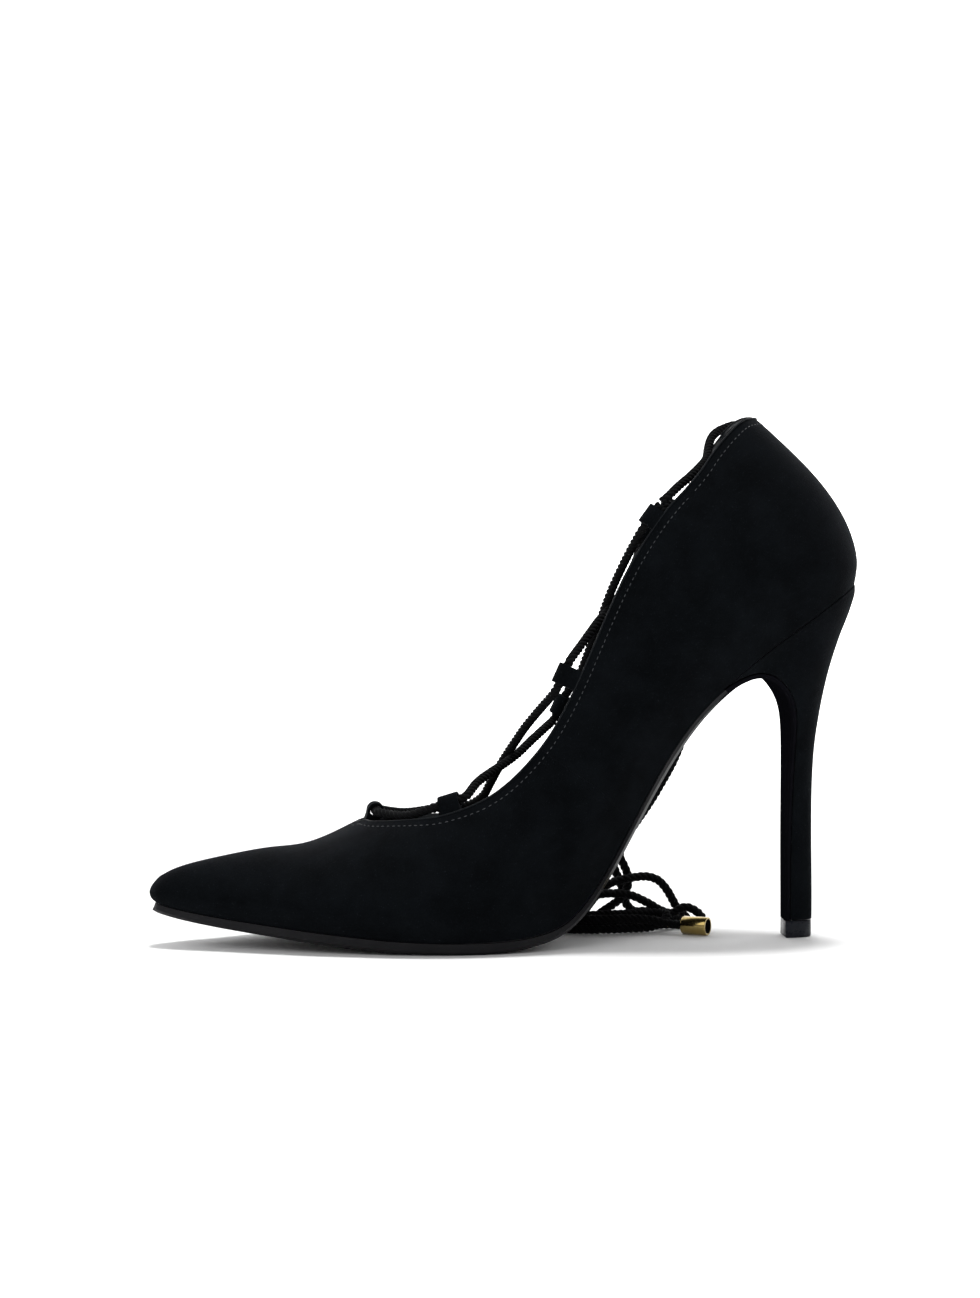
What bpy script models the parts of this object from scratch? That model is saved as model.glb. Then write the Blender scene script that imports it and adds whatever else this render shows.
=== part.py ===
"""A right lace-up pump with a stiletto heel.

Suede upper on a pointed last, thin outsole that runs down the breast of the heel, covered
heel with its top piece, and a twisted lace through folded loops on the topline.
Metres, +Z up. The toe points to -X, the inner side of the foot is -Y, the floor is z = 0.
Everything is modelled about the middle of the last and then moved to the middle of the shoe.
"""

import math

import bmesh
import bpy
from mathutils import Vector

# Driving sizes
LENGTH = 0.2205          # toe tip to the fullest place of the counter
BALL_WIDTH = 0.079       # across the upper at the joints
SEAT_HEIGHT = 0.111      # floor to the back of the heel seat
SIDE_HEIGHT = 0.051      # heel seat to topline at the back
UPPER_WALL = 0.0016      # suede and lining together
SOLE_TOE = 0.0024        # outsole at the toe tip
SOLE_FORE = 0.0036       # outsole under the joints
SOLE_WAIST = 0.0020      # outsole under the waist
SOLE_FLAP = 0.0015       # outsole on the heel breast
SOLE_ROUND = 0.0010      # rounding of the outsole's lower edge
INSOLE = 0.0020          # insole board with its sock
HEEL_TIP_LENGTH = 0.0093
HEEL_TIP_WIDTH = 0.0094
HEEL_TIP_BACK = 0.01475  # back of the heel tip, forward of the fullest place of the counter
TOP_PIECE = 0.0053       # height of the top piece
TOP_PIECE_STEP = 0.0002  # how far the top piece stands in from the heel's cover
LACE = 0.0027            # lace diameter
LACE_PLAY = 0.0005       # room round the lace inside a loop
LOOP_STRIP = 0.0009      # thickness of a loop's folded strip
LOOP_LENGTH = 0.0063     # width of the strip, along the topline
FRONT_REACH = 0.0068     # how far the front loop stands past the throat
LOOP_BASE = 0.0018       # thickness of a loop where it is sewn in
AGLET_RADIUS = 0.0029
AGLET_WALL = 0.0006
AGLET_LENGTH = 0.0085
GAP = 0.0003             # room between pieces that touch
MIDDLE = (-0.0012, 0.0031)  # middle of the shoe in plan, seen from the middle of the last

BASE = SOLE_FORE + GAP   # height of the feather line where the sole is flat on the floor

# The last, in ribs from the toe tip to the back of the heel.
# A rib stands on the feather line and ends at the ridge of the vamp or at the topline.
# along, lean: shares of LENGTH. rise: share of the seat's height above BASE.
# deep, bow: shares of SIDE_HEIGHT. drop: outer side's height as a share of the inner side's.
# widest: where the rib is fullest, as a share of its height.
# foot, full, top: half widths at the feather line, fullest place and top, inner then outer,
# as shares of BALL_WIDTH. A top width under zero only shapes the run into the throat.
RIB_COLUMNS = (
    "along", "rise", "lean", "deep", "bow", "drop", "widest",
    "foot_in", "foot_out", "full_in", "full_out", "top_in", "top_out",
)
RIBS = (
    (0.002, 0.091, 0.006, 0.155, -0.045, 1.00, 0.45, 0.000, 0.000, 0.000, 0.000, 0.000, 0.000),
    (0.0055, 0.089, 0.011, 0.178, -0.037, 1.00, 0.42, 0.040, 0.040, 0.051, 0.051, 0.000, 0.000),
    (0.018, 0.083, 0.012, 0.218, -0.023, 1.00, 0.38, 0.068, 0.073, 0.084, 0.089, 0.000, 0.000),
    (0.045, 0.072, 0.011, 0.275, -0.008, 1.00, 0.35, 0.106, 0.122, 0.127, 0.144, 0.000, 0.000),
    (0.095, 0.056, 0.009, 0.352, 0.000, 1.00, 0.33, 0.165, 0.192, 0.190, 0.218, 0.000, 0.000),
    (0.159, 0.040, 0.003, 0.427, 0.000, 1.00, 0.30, 0.240, 0.291, 0.273, 0.324, 0.000, 0.000),
    (0.222, 0.025, 0.000, 0.486, 0.000, 1.00, 0.28, 0.311, 0.380, 0.349, 0.418, -0.110, -0.110),
    (0.285, 0.013, 0.002, 0.638, 0.000, 1.00, 0.27, 0.360, 0.440, 0.403, 0.481, 0.000, 0.000),
    (0.306, 0.009, -0.001, 0.664, 0.000, 0.99, 0.26, 0.378, 0.460, 0.422, 0.500, 0.115, 0.118),
    (0.334, 0.005, 0.000, 0.690, 0.000, 0.96, 0.26, 0.395, 0.478, 0.441, 0.519, 0.205, 0.218),
    (0.395, 0.000, -0.005, 0.741, 0.000, 0.87, 0.26, 0.418, 0.499, 0.460, 0.540, 0.310, 0.348),
    (0.458, 0.000, -0.019, 0.818, 0.000, 0.79, 0.28, 0.408, 0.491, 0.453, 0.532, 0.348, 0.399),
    (0.512, 0.007, -0.035, 0.904, 0.000, 0.76, 0.32, 0.372, 0.461, 0.428, 0.506, 0.354, 0.411),
    (0.562, 0.033, -0.052, 0.982, 0.000, 0.75, 0.38, 0.316, 0.418, 0.397, 0.476, 0.347, 0.405),
    (0.599, 0.100, -0.062, 0.978, 0.000, 0.74, 0.44, 0.266, 0.382, 0.370, 0.448, 0.334, 0.392),
    (0.630, 0.191, -0.071, 0.933, 0.000, 0.74, 0.50, 0.228, 0.354, 0.349, 0.425, 0.319, 0.377),
    (0.660, 0.300, -0.078, 0.894, 0.000, 0.75, 0.52, 0.203, 0.332, 0.337, 0.405, 0.306, 0.359),
    (0.692, 0.419, -0.083, 0.904, 0.000, 0.77, 0.52, 0.190, 0.314, 0.332, 0.390, 0.296, 0.342),
    (0.726, 0.537, -0.087, 0.949, 0.000, 0.79, 0.48, 0.190, 0.301, 0.334, 0.377, 0.289, 0.327),
    (0.762, 0.639, -0.091, 0.992, 0.000, 0.81, 0.42, 0.208, 0.296, 0.342, 0.370, 0.281, 0.311),
    (0.803, 0.725, -0.093, 1.051, 0.005, 0.84, 0.38, 0.240, 0.299, 0.349, 0.367, 0.273, 0.294),
    (0.853, 0.815, -0.104, 1.039, 0.022, 0.88, 0.36, 0.273, 0.301, 0.347, 0.354, 0.256, 0.268),
    (0.902, 0.888, -0.121, 1.067, 0.056, 0.93, 0.36, 0.278, 0.284, 0.324, 0.327, 0.220, 0.228),
    (0.946, 0.950, -0.130, 1.086, 0.099, 0.97, 0.36, 0.235, 0.235, 0.266, 0.266, 0.165, 0.167),
    (0.977, 0.988, -0.138, 1.032, 0.134, 1.00, 0.36, 0.144, 0.144, 0.162, 0.162, 0.086, 0.086),
    (0.993, 1.000, -0.143, 1.000, 0.150, 1.00, 0.36, 0.000, 0.000, 0.000, 0.000, 0.000, 0.000),
)
THROAT = 7               # the rib where the vamp's ridge meets the topline
LIP = 19.8               # the place on the ribs where heel and outsole part
BACK = len(RIBS) - 1
INNER, OUTER = -1, 1     # sides of the foot, which are also the signs of y

# The heel from just under the seat down to the top piece.
# front, back: the breast and the back of the heel in side view, towards the toe and away
# from it, from their places on the heel tip, as shares of LENGTH.
# front_up, back_up: shares of the height between top piece and seat.
# wide_in, wide_out: half width at the breast, more than the tip's, shares of BALL_WIDTH.
HEEL_COLUMNS = ("front", "front_up", "back", "back_up", "wide_in", "wide_out")
HEEL = (
    (0.0771, 0.708, 0.0590, 0.974, 0.176, 0.216),
    (0.0599, 0.724, 0.0544, 0.941, 0.173, 0.203),
    (0.0463, 0.729, 0.0481, 0.903, 0.169, 0.191),
    (0.0313, 0.723, 0.0390, 0.858, 0.163, 0.176),
    (0.0172, 0.702, 0.0304, 0.808, 0.151, 0.155),
    (0.0063, 0.670, 0.0222, 0.753, 0.131, 0.133),
    (-0.0005, 0.632, 0.0150, 0.692, 0.109, 0.109),
    (-0.0032, 0.578, 0.0082, 0.616, 0.083, 0.083),
    (-0.0023, 0.488, 0.0014, 0.511, 0.051, 0.051),
    (-0.0009, 0.364, -0.0014, 0.379, 0.027, 0.027),
    (0.0000, 0.232, -0.0014, 0.241, 0.014, 0.014),
    (0.0000, 0.118, -0.0005, 0.122, 0.007, 0.007),
    (0.0000, 0.000, 0.0000, 0.000, 0.000, 0.000),
)
SHAFT = 8                # the row under which the heel is a plain D in section

# Loops at the joints, the instep and the ankle: ribs of the inner and the outer one, and reach.
LOOPS = ((10.3, 10.65, 0.0073), (16.08, 16.0, 0.0078), (19.66, 19.92, 0.0055))

# Strands between the loops, by the lower loop that each leaves: share of the way up, and how far
# in front of the straight line the slack strand passes there, in laces.
STRANDS = {
    ("joints", INNER): (
        (0.16, 0.33), (0.25, 0.26), (0.37, 0.03), (0.48, -0.17), (0.59, -0.25), (0.73, -0.15),
        (0.88, -0.1),
    ),
    ("joints", OUTER): (
        (0.12, -0.9), (0.21, -0.7), (0.3, -0.42), (0.41, -0.16), (0.54, 0.03), (0.67, 0.18),
        (0.8, 0.13),
    ),
    ("instep", OUTER): (
        (0.1, -0.45), (0.24, -0.33), (0.35, -0.12), (0.44, -0.03), (0.52, 0.13), (0.62, 0.28),
        (0.71, 0.32), (0.86, 0.25),
    ),
    ("instep", INNER): (
        (0.11, -0.13), (0.25, -0.3), (0.36, -0.45), (0.47, -0.85), (0.56, -0.98), (0.7, -0.75),
        (0.87, -0.5),
    ),
}

# Free ends of the lace: over the outer topline, down the outer side and into a loose pile.
LACE_END_INNER = (
    (0.0448, -0.0197, 0.1371), (0.0469, -0.0187, 0.1387), (0.0503, -0.0150, 0.1414),
    (0.0550, -0.0095, 0.1445), (0.0590, -0.0035, 0.1473), (0.0620, 0.0025, 0.1498),
    (0.0634, 0.0080, 0.1529), (0.0654, 0.0136, 0.1561), (0.0679, 0.0176, 0.1579),
    (0.0707, 0.0202, 0.1590), (0.0735, 0.0218, 0.1598), (0.0759, 0.0226, 0.1597),
    (0.0775, 0.0232, 0.1579), (0.0776, 0.0240, 0.1545), (0.0724, 0.0262, 0.1455),
    (0.0692, 0.0293, 0.1320), (0.0664, 0.0319, 0.1180), (0.0635, 0.0328, 0.0900),
    (0.0592, 0.0332, 0.0590), (0.0515, 0.0340, 0.0430), (0.0435, 0.0345, 0.0308),
    (0.0397, 0.0347, 0.0252), (0.0396, 0.0347, 0.0215), (0.0411, 0.0345, 0.0182),
    (0.0422, 0.0341, 0.0148), (0.0417, 0.0334, 0.0115), (0.0398, 0.0325, 0.0086),
    (0.0368, 0.0311, 0.0066), (0.0335, 0.0295, 0.0048), (0.0300, 0.0278, 0.0028),
    (0.0262, 0.0262, 0.0018), (0.0222, 0.0265, 0.0017), (0.0202, 0.0298, 0.0021),
    (0.0222, 0.0330, 0.0038), (0.0265, 0.0330, 0.0070), (0.0308, 0.0308, 0.0096),
    (0.0355, 0.0290, 0.0105), (0.0415, 0.0273, 0.0102), (0.0470, 0.0260, 0.0079),
    (0.0515, 0.0255, 0.0053), (0.0550, 0.0252, 0.0044), (0.0592, 0.0250, 0.0063),
    (0.0630, 0.0238, 0.0048), (0.0645, 0.0210, 0.0022), (0.0610, 0.0188, 0.0016),
    (0.0540, 0.0193, 0.0016), (0.0460, 0.0205, 0.0016), (0.0380, 0.0213, 0.0016),
    (0.0300, 0.0212, 0.0016), (0.0235, 0.0193, 0.0016), (0.0202, 0.0156, 0.0016),
    (0.0216, 0.0118, 0.0016), (0.0270, 0.0102, 0.0016), (0.0350, 0.0106, 0.0016),
    (0.0420, 0.0118, 0.0016), (0.0465, 0.0130, 0.0018), (0.0508, 0.0153, 0.0032),
    (0.0524, 0.0186, 0.0049), (0.0500, 0.0216, 0.0050), (0.0455, 0.0226, 0.0048),
    (0.0385, 0.0224, 0.0047), (0.0310, 0.0214, 0.0047), (0.0255, 0.0186, 0.0047),
    (0.0236, 0.0148, 0.0047), (0.0264, 0.0116, 0.0047), (0.0325, 0.0104, 0.0047),
    (0.0400, 0.0108, 0.0047), (0.0462, 0.0112, 0.0042), (0.0510, 0.0107, 0.0030),
    (0.0554, 0.0080, 0.0030),
)
LACE_END_OUTER = (
    (0.0503, 0.0210, 0.1315), (0.0513, 0.0215, 0.1333), (0.0528, 0.0229, 0.1347),
    (0.0547, 0.0254, 0.1351), (0.0567, 0.0281, 0.1339), (0.0582, 0.0298, 0.1305),
    (0.0590, 0.0309, 0.1250), (0.0598, 0.0329, 0.1120), (0.0600, 0.0355, 0.0900),
    (0.0550, 0.0368, 0.0590), (0.0470, 0.0380, 0.0430), (0.0400, 0.0385, 0.0315),
    (0.0375, 0.0387, 0.0235), (0.0380, 0.0386, 0.0185), (0.0396, 0.0384, 0.0140),
    (0.0412, 0.0382, 0.0096), (0.0423, 0.0384, 0.0056), (0.0448, 0.0388, 0.0034),
    (0.0485, 0.0385, 0.0034), (0.0530, 0.0375, 0.0024), (0.0580, 0.0360, 0.0016),
    (0.0608, 0.0330, 0.0018), (0.0595, 0.0305, 0.0032), (0.0575, 0.0297, 0.0052),
    (0.0558, 0.0293, 0.0082), (0.0538, 0.0290, 0.0116), (0.0510, 0.0288, 0.0146),
    (0.0475, 0.0288, 0.0158), (0.0435, 0.0290, 0.0156), (0.0395, 0.0297, 0.0148),
    (0.0362, 0.0318, 0.0135), (0.0332, 0.0349, 0.0107), (0.0303, 0.0380, 0.0062),
    (0.0282, 0.0420, 0.0030), (0.0248, 0.0450, 0.0030),
)


def spline(values, place):
    """Catmull-Rom value at a place between the numbered values."""
    first = min(int(place), len(values) - 2)
    share = place - first
    before = values[max(first - 1, 0)]
    start, end = values[first], values[first + 1]
    after = values[min(first + 2, len(values) - 1)]
    return 0.5 * (
        2 * start
        + (end - before) * share
        + (2 * before - 5 * start + 4 * end - after) * share ** 2
        + (3 * start - before - 3 * end + after) * share ** 3
    )


def rib_value(column, rib, mirror=None):
    """A column of RIBS at any rib. Past tip and back the other side carries the curve on."""
    values = [row[RIB_COLUMNS.index(column)] for row in RIBS]
    other = values if mirror is None else [-row[RIB_COLUMNS.index(mirror)] for row in RIBS]
    return spline([other[1], *values, other[-2]], rib + 1)


def feather(rib):
    """Point of the feather line in side view."""
    along = rib_value("along", rib) * LENGTH - LENGTH / 2
    rise = max(0.0, rib_value("rise", rib)) * (SEAT_HEIGHT - BASE)
    return Vector((along, 0, BASE + rise))


def half_width(part, rib, side):
    """Half width of the last at the foot, the fullest place or the top of a rib."""
    names = (part + "_in", part + "_out")
    if side == OUTER:
        names = names[::-1]
    return max(0.0, rib_value(names[0], rib, names[1])) * BALL_WIDTH


def rib_point(rib, side, share):
    """Point of the upper's outer face: share 0 is the feather line, 1 the ridge or topline."""
    drop = rib_value("drop", rib) if side == OUTER and rib > THROAT else 1.0
    reach = Vector((rib_value("lean", rib) * LENGTH, 0, rib_value("deep", rib) * SIDE_HEIGHT))
    widest = rib_value("widest", rib) / drop
    foot = half_width("foot", rib, side)
    full = half_width("full", rib, side)
    top = half_width("top", rib, side) if rib > THROAT else 0.0
    if share < widest:
        width = foot + (full - foot) * math.sin(math.pi / 2 * share / widest)
        height = share
    else:
        turn = math.acos(min(1.0, top / full)) if full > 0 else math.pi / 2
        angle = turn * (share - widest) / (1 - widest)
        width = full * math.cos(angle)
        height = widest + (1 - widest) * math.sin(angle) / math.sin(turn)
    outward = Vector((reach.z, 0, -reach.x)).normalized()
    bulge = rib_value("bow", rib) * SIDE_HEIGHT * math.sin(math.pi * (height * drop) ** 0.72)
    point = feather(rib) + reach * height * drop + outward * bulge
    return point + Vector((0, side * width, 0))


def new_object(name, mesh, material):
    """Link a mesh object with its material into the shoe's collection."""
    item = bpy.data.objects.new(name, mesh)
    item.data.materials.append(material)
    shoe.objects.link(item)
    return item


def finish(build, name, material, sharp=math.radians(35)):
    """Merge the bmesh, point its faces outwards and make it an object."""
    bmesh.ops.remove_doubles(build, verts=build.verts, dist=1e-6)
    bmesh.ops.dissolve_degenerate(build, edges=build.edges, dist=1e-7)
    bmesh.ops.recalc_face_normals(build, faces=build.faces)
    mesh = bpy.data.meshes.new(name)
    build.to_mesh(mesh)
    build.free()
    item = new_object(name, mesh, material)
    mesh.shade_smooth()
    mesh.set_sharp_from_angle(angle=sharp)
    return item


def skin(build, rows, around=True):
    """Quads between neighbouring rows of points. Returns the rows of vertices."""
    grid = [[build.verts.new(point) for point in row] for row in rows]
    count = len(rows[0])
    last = count if around else count - 1
    for low, high in zip(grid, grid[1:]):
        for i in range(last):
            j = (i + 1) % count
            build.faces.new((low[i], low[j], high[j], high[i]))
    return grid


def principled(name, colour, roughness, metallic=0.0):
    """A Principled material."""
    material = bpy.data.materials.new(name)
    material.use_nodes = True
    shader = material.node_tree.nodes["Principled BSDF"]
    shader.inputs["Base Color"].default_value = (*colour, 1)
    shader.inputs["Roughness"].default_value = roughness
    shader.inputs["Metallic"].default_value = metallic
    return material


def stations(start, end, steps):
    """Evenly spaced places, both ends included."""
    return [start + (end - start) * i / steps for i in range(steps + 1)]


def upper():
    """The upper: ribs round the whole last, open at the throat and underneath."""
    levels = stations(0, 1, 12)
    places = stations(0, 4, 8)[:-1] + stations(4, THROAT, 5)[:-1]
    places += stations(THROAT, 10, 8)[:-1] + stations(10, BACK, 24)
    ring = [(rib, INNER) for rib in places] + [(rib, OUTER) for rib in places[-2:0:-1]]
    rows = [[rib_point(rib, side, share) for share in levels] for rib, side in ring]
    rows.append(rows[0])
    build = bmesh.new()
    skin(build, rows, around=False)
    item = finish(build, "upper", suede, math.radians(50))
    wall = item.modifiers.new("wall", "SOLIDIFY")
    wall.thickness = UPPER_WALL
    wall.offset = -1
    wall.use_even_offset = True


def square_up(rib):
    """Direction square to the feather line, into the shoe, in side view."""
    ahead = feather(min(rib + 0.05, BACK)) - feather(max(rib - 0.05, 0))
    return Vector((-ahead.z, 0, ahead.x)).normalized()


def sideways(points, widths):
    """The same side view points at the inner and at the outer half width."""
    inner = [point - Vector((0, width[0], 0)) for point, width in zip(points, widths)]
    outer = [point + Vector((0, width[1], 0)) for point, width in zip(points, widths)]
    return inner, outer


def insole():
    """The insole between the upper's walls, from near the tip to near the back."""
    inset = UPPER_WALL * 1.2 + GAP
    step = 0.05
    places = stations(2.5, 4, 4)[:-1] + stations(4, 22, 22)[:-1] + stations(22, 24.2, 7)
    rows = []
    for rib in places:
        run = (feather(rib + step) - feather(rib - step)).length
        width = []
        for side in (INNER, OUTER):
            change = half_width("foot", rib + step, side) - half_width("foot", rib - step, side)
            width.append(half_width("foot", rib, side) - inset * math.hypot(1, change / run))
        faces = [feather(rib), feather(rib) + square_up(rib) * INSOLE]
        inner, outer = sideways(faces, [width, width])
        rows.append((inner[0], outer[0], outer[1], inner[1]))
    build = bmesh.new()
    grid = skin(build, rows)
    build.faces.new(grid[0])
    build.faces.new(grid[-1])
    finish(build, "insole", lining)


def heel_value(column, row):
    """A column of HEEL at any row."""
    return spline([line[HEEL_COLUMNS.index(column)] for line in HEEL], row)


def heel_point(edge, row):
    """Point of the breast or the back of the heel in side view, on the outside."""
    foot = TOP_PIECE + GAP
    along = heel_value(edge, row) * LENGTH
    tip = LENGTH / 2 - HEEL_TIP_BACK
    x = tip + along if edge == "back" else tip - HEEL_TIP_LENGTH - along
    return Vector((x, 0, foot + heel_value(edge + "_up", row) * (SEAT_HEIGHT - foot)))


def heel_width(row):
    """Half widths of the breast, inner then outer."""
    tip = HEEL_TIP_WIDTH / 2
    return [tip + heel_value(name, row) * BALL_WIDTH for name in ("wide_in", "wide_out")]


def into_heel(row):
    """Direction square to the breast, into the heel, in side view."""
    last = len(HEEL) - 1
    ahead = heel_point("front", min(row + 0.1, last)) - heel_point("front", max(row - 0.1, 0))
    return Vector((-ahead.z, 0, ahead.x)).normalized()


def sole_section(face, inward, width, thick):
    """Section of the outsole. face is the visible side's middle, inward points at the shoe."""
    slope = min(SOLE_ROUND, 0.5 * thick)
    flat = [max(0.0, side - 1.5 * slope) for side in width]
    depths = [face, face + inward * slope, face + inward * thick]
    inner, outer = sideways(depths, [flat, width, width])
    return inner + outer[::-1]


def outsole():
    """The outsole, from the toe over the waist and down the breast of the heel."""
    rows = []
    places = stations(0, 4, 8)[:-1] + stations(4, 10, 6)[:-1] + stations(10, 11, 2)[:-1]
    places += stations(11, LIP, 17)
    for rib in places:
        thin = max(0.0, min(1.0, (rib - 11) / 3))
        thick = SOLE_FORE + (SOLE_WAIST - SOLE_FORE) * thin
        thick -= (SOLE_FORE - SOLE_TOE) * max(0.0, 1 - rib / THROAT)
        width = [half_width("foot", rib, side) for side in (INNER, OUTER)]
        inward = square_up(rib)
        rows.append(sole_section(feather(rib) - inward * (GAP + thick), inward, width, thick))
    for row in stations(0, len(HEEL) - 1, 24):
        face = heel_point("front", row)
        rows.append(sole_section(face, into_heel(row), heel_width(row), SOLE_FLAP))
    build = bmesh.new()
    grid = skin(build, rows)
    build.faces.new(grid[-1])
    finish(build, "outsole", sole_gloss)


def heel():
    """The covered heel between the seat, the outsole's flap and the top piece."""
    seat_ribs = stations(LIP + 0.1, BACK, 10)
    seat = [feather(rib) - square_up(rib) * GAP for rib in seat_ribs]
    seat_width = [[half_width("foot", rib, side) for side in (INNER, OUTER)] for rib in seat_ribs]
    share = [(point.x - seat[0].x) / (seat[-1].x - seat[0].x) for point in seat]
    sag = [point - seat[0].lerp(seat[-1], part) for point, part in zip(seat, share)]
    rows = [(seat, seat_width)]
    for row in stations(0, len(HEEL) - 1, 24):
        seat_like = max(0.0, 1 - (row + 1) / SHAFT) ** 1.2
        front = heel_point("front", row) + into_heel(row) * (SOLE_FLAP + GAP)
        back = heel_point("back", row)
        breast = heel_width(row)
        points, widths = [], []
        for part, dip, wide in zip(share, sag, seat_width):
            points.append(front.lerp(back, part) + dip * seat_like)
            round_back = math.sqrt(max(0.0, 1 - part ** 2.2))
            widths.append([
                breast[i] * (seat_like * wide[i] / seat_width[0][i] + (1 - seat_like) * round_back)
                for i in range(2)
            ])
        rows.append((points, widths))
    rings = []
    for points, widths in rows:
        inner, outer = sideways(points, widths)
        rings.append(inner + outer[-2::-1])
    build = bmesh.new()
    grid = skin(build, rings)
    for ring in (grid[0], grid[-1]):
        cap_across(build, ring)
    finish(build, "heel", suede)


def cap_across(build, ring):
    """Close a ring that runs down one side and back up the other with strips across."""
    last = len(ring) - 1
    for i in range(last // 2):
        corners = (ring[i], ring[i + 1], ring[last - i - 1], ring[last - i])
        build.faces.new(list(dict.fromkeys(corners)))


def top_piece():
    """The top piece under the heel and the flap, a D in plan with a softened lower edge."""
    tip = LENGTH / 2 - HEEL_TIP_BACK - TOP_PIECE_STEP
    size = HEEL_TIP_LENGTH - 2 * TOP_PIECE_STEP
    rings = []
    for height, inset in ((0, 0.0004), (0.0004, 0), (TOP_PIECE, 0)):
        half = HEEL_TIP_WIDTH / 2 - TOP_PIECE_STEP - inset
        shares = [math.sin(math.pi / 2 * i / 9) for i in range(10)]
        points = [
            Vector((tip - size + inset + share * (size - 2 * inset), 0, height))
            for share in shares
        ]
        widths = [[half * math.sqrt(max(0.0, 1 - share ** 2.2))] * 2 for share in shares]
        inner, outer = sideways(points, widths)
        rings.append(inner + outer[-2::-1])
    build = bmesh.new()
    grid = skin(build, rings)
    for ring in (grid[0], grid[-1]):
        build.faces.new(ring)
    finish(build, "top_piece", tip_plastic)


def loop_frame(rib, side):
    """Seat of a loop on the topline's rim, and its directions along, up and out."""
    edge = rib_point(rib, side, 1)
    along = (rib_point(rib + 0.1, side, 1) - rib_point(rib - 0.1, side, 1)).normalized()
    rise = edge - rib_point(rib, side, 0.97)
    up = (rise - along * rise.dot(along)).normalized()
    out = along.cross(up) * -side
    return edge - out * UPPER_WALL / 2, along, up, out


def front_frame():
    """Seat of the front loop on the throat's rim. Its hole runs across the shoe."""
    beside = [rib for rib in stations(THROAT, THROAT + 1, 60)
              if half_width("top", rib, OUTER) > LOOP_LENGTH / 2 + GAP]
    edge = rib_point(beside[0], OUTER, 1) * Vector((1, 0, 1))
    up = Vector((0.62, 0, 0.78)).normalized()
    out = Vector((-up.z, 0, up.x))
    return edge - out * UPPER_WALL / 2, Vector((0, 1, 0)), up, out


def hole_centre(frame, reach):
    """Middle of a loop's hole."""
    seat, _, up, _ = frame
    return seat + up * (reach - LOOP_STRIP - LACE / 2 - LACE_PLAY)


def loop(name, frame, reach):
    """A strip folded over the lace and sewn in at the topline: a ring with a narrow base."""
    seat, along, up, out = frame
    hole = LACE / 2 + LACE_PLAY
    centre = hole_centre(frame, reach)
    turns = [math.radians(-52 + 284 * i / 11) for i in range(12)]
    base = [seat + up * 2 * GAP + out * LOOP_BASE / 2 * way for way in (-1, 1)]
    outer = [centre + (out * math.cos(t) + up * math.sin(t)) * (hole + LOOP_STRIP) for t in turns]
    outer = [base[1], *outer, base[0]]
    low = [math.radians(angle) for angle in (-76, -104)]
    around = [low[0], *turns, low[1]]
    inner = [centre + (out * math.cos(t) + up * math.sin(t)) * hole for t in around]
    half = along * LOOP_LENGTH / 2
    rows = [[point + shift for point in line] for line, shift in (
        (outer, -half), (outer, half), (inner, half), (inner, -half), (outer, -half),
    )]
    build = bmesh.new()
    skin(build, rows)
    finish(build, name, suede)


def loops():
    """Three loops on each side of the topline and one at the front of the throat."""
    for number, (inner_rib, outer_rib, reach) in enumerate(LOOPS, start=1):
        loop(f"loop_inner_{number}", loop_frame(inner_rib, INNER), reach)
        loop(f"loop_outer_{number}", loop_frame(outer_rib, OUTER), reach)
    loop("loop_front", front_frame(), FRONT_REACH)


def curve_between(four, share):
    """Centripetal Catmull-Rom point between the middle two of four points."""
    knots = [0.0]
    for start, end in zip(four, four[1:]):
        knots.append(knots[-1] + max((end - start).length, 1e-6) ** 0.5)
    place = knots[1] + (knots[2] - knots[1]) * share

    def blend(first, second, low, high):
        return first.lerp(second, (place - knots[low]) / (knots[high] - knots[low]))

    a, b, c = (blend(four[i], four[i + 1], i, i + 1) for i in range(3))
    return blend(blend(a, b, 0, 2), blend(b, c, 1, 3), 1, 2)


def smooth_path(points, spacing):
    """Points about a spacing apart on a smooth curve through the given ones."""
    fine = []
    ends = [2 * points[0] - points[1], *points, 2 * points[-1] - points[-2]]
    for i in range(len(points) - 1):
        fine += [curve_between(ends[i:i + 4], share / 24) for share in range(24)]
    fine.append(points[-1])
    lengths = [0.0]
    for start, end in zip(fine, fine[1:]):
        lengths.append(lengths[-1] + (end - start).length)
    count = max(2, round(lengths[-1] / spacing))
    path, place = [], 0
    for i in range(count + 1):
        target = lengths[-1] * i / count
        while place < len(fine) - 2 and lengths[place + 1] < target:
            place += 1
        span = lengths[place + 1] - lengths[place]
        path.append(fine[place].lerp(fine[place + 1], (target - lengths[place]) / span))
    return path


def cord(name, points, spacing, material):
    """A cord along a smooth path, as a curve with a round section."""
    path = smooth_path([Vector(point) for point in points], spacing)
    curve = bpy.data.curves.new(name, "CURVE")
    curve.dimensions = "3D"
    curve.bevel_depth = LACE / 2
    curve.bevel_resolution = 2
    curve.use_fill_caps = True
    line = curve.splines.new("POLY")
    line.points.add(len(path) - 1)
    for point, place in zip(line.points, path):
        point.co = (*place, 1)
    curve.materials.append(material)
    shoe.objects.link(bpy.data.objects.new(name, curve))


def through(frame, reach, way):
    """Places of the lace before, in and after a loop, going along the frame or against it."""
    step = frame[1] * way * LOOP_LENGTH / 2
    centre = hole_centre(frame, reach)
    return [centre + step * share for share in (-1.45, -1, 0, 1, 1.45)]


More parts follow.
